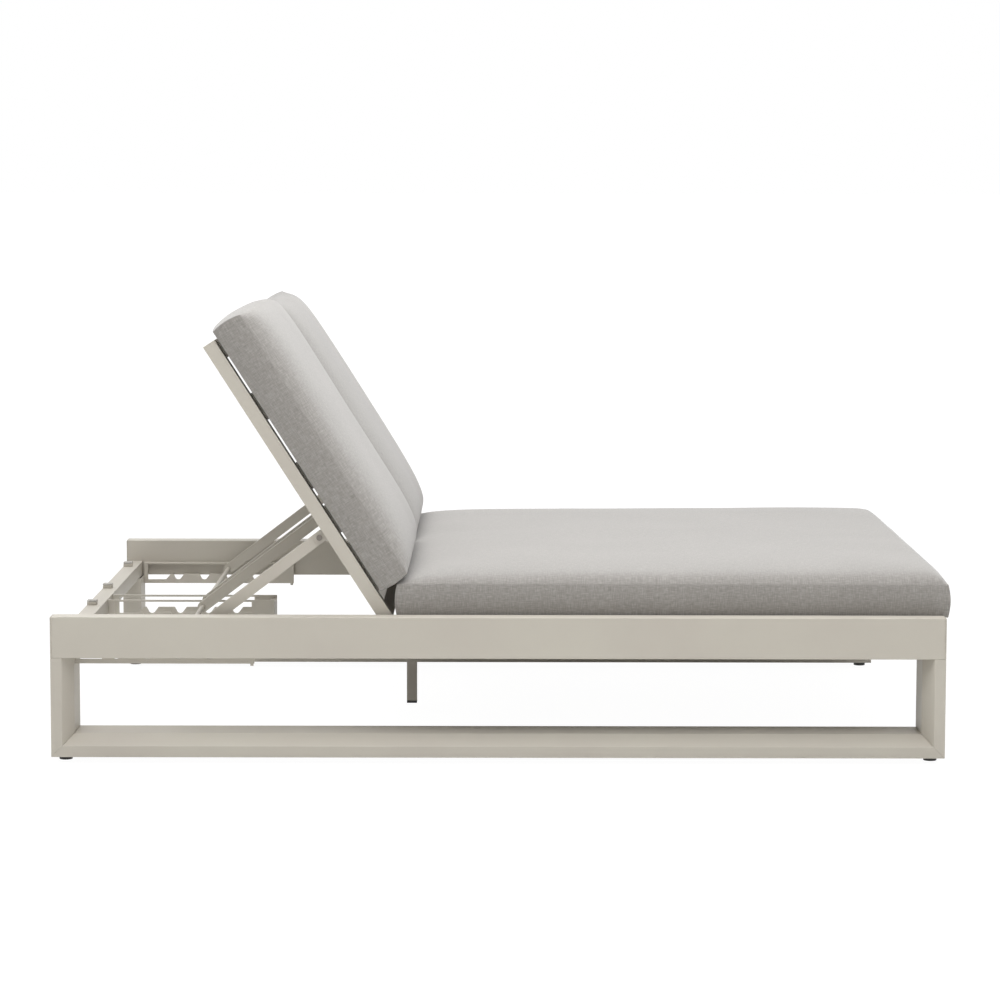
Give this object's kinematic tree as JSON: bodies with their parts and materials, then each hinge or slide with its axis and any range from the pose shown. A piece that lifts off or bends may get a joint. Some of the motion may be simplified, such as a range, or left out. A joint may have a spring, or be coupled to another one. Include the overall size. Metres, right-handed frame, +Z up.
{
  "type": "double chaise lounger",
  "caption": "Low double sun lounger with a bevelled metal frame, a wide seat cushion and two backrests that recline apart on notched racks.",
  "frame": {"origin": "on the floor under the middle of the frame", "axes": "+X towards the foot end, +Y to the left of someone lying on it, +Z up"},
  "size_m": [2, 1.55, 1.0165],
  "materials": {
    "frame": "matt greige powder coat",
    "fabric": "light grey melange outdoor weave",
    "black_plastic": "matt black",
    "bolt_steel": "dull zinc steel",
    "pad_rubber": "matt grey rubber"
  },
  "bodies": {
    "base": {"foot_glides": "black_plastic", "rail_end_caps": "frame", "head_crossbar": "frame", "hinge_crossbar": "frame", "seat_crossbar": "frame", "foot_crossbar": "frame", "right_seat_bearer": "frame", "right_centre_bearer": "frame", "left_centre_bearer": "frame", "left_seat_bearer": "frame", "seat_slats": "frame", "bearer_plugs": "frame", "centre_leg": "frame", "centre_leg_cap": "black_plastic", "rack_spacer": "frame", "head_blocks": "frame", "head_pads": "pad_rubber", "seat_cushion": "fabric", "right_top_rail": "frame", "right_head_leg": "frame", "right_foot_leg": "frame", "right_lower_bar": "frame", "right_outer_rack": "frame", "right_inner_rack": "frame", "right_hinge_lugs": "frame", "right_hinge_bolts": "bolt_steel", "left_top_rail": "frame", "left_head_leg": "frame", "left_foot_leg": "frame", "left_lower_bar": "frame", "left_outer_rack": "frame", "left_inner_rack": "frame", "left_hinge_lugs": "frame", "left_hinge_bolts": "bolt_steel"},
    "right_backrest": {"right_outer_back_rail": "frame", "right_inner_back_rail": "frame", "right_back_head_tube": "frame", "right_back_lower_tube": "frame", "right_back_rail_plugs": "frame", "right_back_slats": "frame", "right_hinge_bushes": "black_plastic", "right_prop_tabs": "frame", "right_prop_bolts": "bolt_steel", "right_back_cushion": "fabric"},
    "right_prop": {"right_prop_outer_bar": "frame", "right_prop_inner_bar": "frame", "right_prop_rod": "frame"},
    "left_backrest": {"left_outer_back_rail": "frame", "left_inner_back_rail": "frame", "left_back_head_tube": "frame", "left_back_lower_tube": "frame", "left_back_rail_plugs": "frame", "left_back_slats": "frame", "left_hinge_bushes": "black_plastic", "left_prop_tabs": "frame", "left_prop_bolts": "bolt_steel", "left_back_cushion": "fabric"},
    "left_prop": {"left_prop_outer_bar": "frame", "left_prop_inner_bar": "frame", "left_prop_rod": "frame"}
  },
  "joints": [
    {"name": "right_recline", "type": "hinge", "parent": "base", "child": "right_backrest", "pos_m": [-0.24, 0, 0.304], "axis": [0, 1, 0], "range_deg": [-57.35, 12.65]},
    {"name": "right_prop_swing", "type": "hinge", "parent": "right_backrest", "child": "right_prop", "pos_m": [-0.40199, 0, 0.50306], "axis": [0, 1, 0], "range_deg": [-20.16, 90.7]},
    {"name": "left_recline", "type": "hinge", "parent": "base", "child": "left_backrest", "pos_m": [-0.24, 0, 0.304], "axis": [0, 1, 0], "range_deg": [-57.35, 12.65]},
    {"name": "left_prop_swing", "type": "hinge", "parent": "left_backrest", "child": "left_prop", "pos_m": [-0.40199, 0, 0.50306], "axis": [0, 1, 0], "range_deg": [-20.16, 90.7]}
  ],
  "couplings": [
    {"joint": "right_prop_swing", "follows": "right_recline", "ratio": -1.578},
    {"joint": "left_prop_swing", "follows": "left_recline", "ratio": -1.578}
  ]
}
